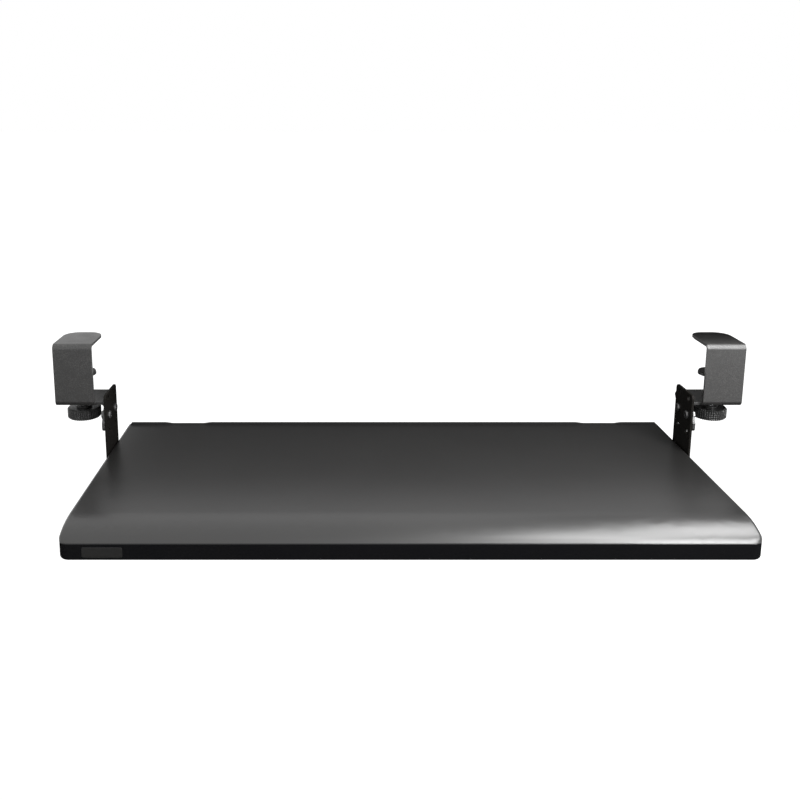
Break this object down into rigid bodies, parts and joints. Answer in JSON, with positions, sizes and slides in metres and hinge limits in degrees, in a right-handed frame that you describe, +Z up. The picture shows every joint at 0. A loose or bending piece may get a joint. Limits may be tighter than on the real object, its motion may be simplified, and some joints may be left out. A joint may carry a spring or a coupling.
{
  "type": "under-desk keyboard tray",
  "caption": "Clamp-on keyboard tray: a ribbed, roll-fronted tray slides on roller rails below steel desk clamps with knurled knobs.",
  "frame": {"origin": "midway between the clamps, on the plane of the desk's front face and of its top surface", "axes": "+X to the user's right, +Y back under the desk, +Z up"},
  "size_m": [0.7966, 0.3, 0.1615],
  "materials": {
    "tray_plastic": "fine spark-eroded grain, charcoal, satin",
    "band_gloss": "smooth near-black gloss",
    "clamp_steel": "fine-textured dark grey powder coat",
    "plate_steel": "satin black powder coat",
    "rail_steel": "satin black coat, worn where the rollers run",
    "knob_plastic": "moulded black, fine grain",
    "pad_rubber": "dull black rubber",
    "roller_nylon": "natural nylon, lightly polished by use",
    "black_steel": "blackened steel screws and nuts, slightly oily sheen",
    "plated_steel": "zinc plated with a dull passivated film"
  },
  "bodies": {
    "frame": {"height_screws": "black_steel", "height_nuts": "black_steel", "roller_axles": "plated_steel", "left_clamp_bracket": "clamp_steel", "left_jaw_pad": "pad_rubber", "left_clamp_nut": "plated_steel", "left_height_plate": "plate_steel", "right_clamp_bracket": "clamp_steel", "right_jaw_pad": "pad_rubber", "right_clamp_nut": "plated_steel", "right_height_plate": "plate_steel"},
    "tray": {"tray_shell": "tray_plastic", "front_band": "band_gloss", "rail_screws": "plated_steel", "band_screws": "plated_steel", "left_rail": "rail_steel", "left_front_stop": "pad_rubber", "left_rear_stop": "pad_rubber", "right_rail": "rail_steel", "right_front_stop": "pad_rubber", "right_rear_stop": "pad_rubber"},
    "left_pad": {"left_pressure_pad": "knob_plastic", "left_pad_face": "pad_rubber"},
    "left_screw": {"left_clamp_screw": "plated_steel", "left_clamp_knob": "knob_plastic"},
    "left_front_wheel": {"left_front_roller": "roller_nylon"},
    "left_rear_wheel": {"left_rear_roller": "roller_nylon"},
    "right_pad": {"right_pressure_pad": "knob_plastic", "right_pad_face": "pad_rubber"},
    "right_screw": {"right_clamp_screw": "plated_steel", "right_clamp_knob": "knob_plastic"},
    "right_front_wheel": {"right_front_roller": "roller_nylon"},
    "right_rear_wheel": {"right_rear_roller": "roller_nylon"}
  },
  "joints": [
    {"name": "tray_slide", "type": "slide", "parent": "frame", "child": "tray", "axis": [0, 1, 0], "range_m": [0, 0.184]},
    {"name": "left_pad_lift", "type": "slide", "parent": "frame", "child": "left_pad", "axis": [0, 0, 1], "range_m": [-0.015, 0.00675]},
    {"name": "left_screw_turn", "type": "hinge", "parent": "left_pad", "child": "left_screw", "pos_m": [-0.3738, 0.027, -0.04], "axis": [0, 0, 1], "range_deg": [-3601, 1621]},
    {"name": "left_front_roller_spin", "type": "hinge", "parent": "frame", "child": "left_front_wheel", "pos_m": [-0.3308, 0.012, -0.145], "axis": [1, 0, 0], "continuous": true},
    {"name": "left_rear_roller_spin", "type": "hinge", "parent": "frame", "child": "left_rear_wheel", "pos_m": [-0.3308, 0.077, -0.145], "axis": [1, 0, 0], "continuous": true},
    {"name": "right_pad_lift", "type": "slide", "parent": "frame", "child": "right_pad", "axis": [0, 0, 1], "range_m": [-0.015, 0.00675]},
    {"name": "right_screw_turn", "type": "hinge", "parent": "right_pad", "child": "right_screw", "pos_m": [0.3738, 0.027, -0.04], "axis": [0, 0, 1], "range_deg": [-3601, 1621]},
    {"name": "right_front_roller_spin", "type": "hinge", "parent": "frame", "child": "right_front_wheel", "pos_m": [0.3308, 0.012, -0.145], "axis": [1, 0, 0], "continuous": true},
    {"name": "right_rear_roller_spin", "type": "hinge", "parent": "frame", "child": "right_rear_wheel", "pos_m": [0.3308, 0.077, -0.145], "axis": [1, 0, 0], "continuous": true}
  ],
  "couplings": [
    {"joint": "left_screw_turn", "follows": "left_pad_lift", "rad_per_m": 4188.8},
    {"joint": "left_front_roller_spin", "follows": "tray_slide", "rad_per_m": -129.87},
    {"joint": "left_rear_roller_spin", "follows": "tray_slide", "rad_per_m": 129.87},
    {"joint": "right_screw_turn", "follows": "right_pad_lift", "rad_per_m": 4188.8},
    {"joint": "right_front_roller_spin", "follows": "tray_slide", "rad_per_m": -129.87},
    {"joint": "right_rear_roller_spin", "follows": "tray_slide", "rad_per_m": 129.87}
  ]
}
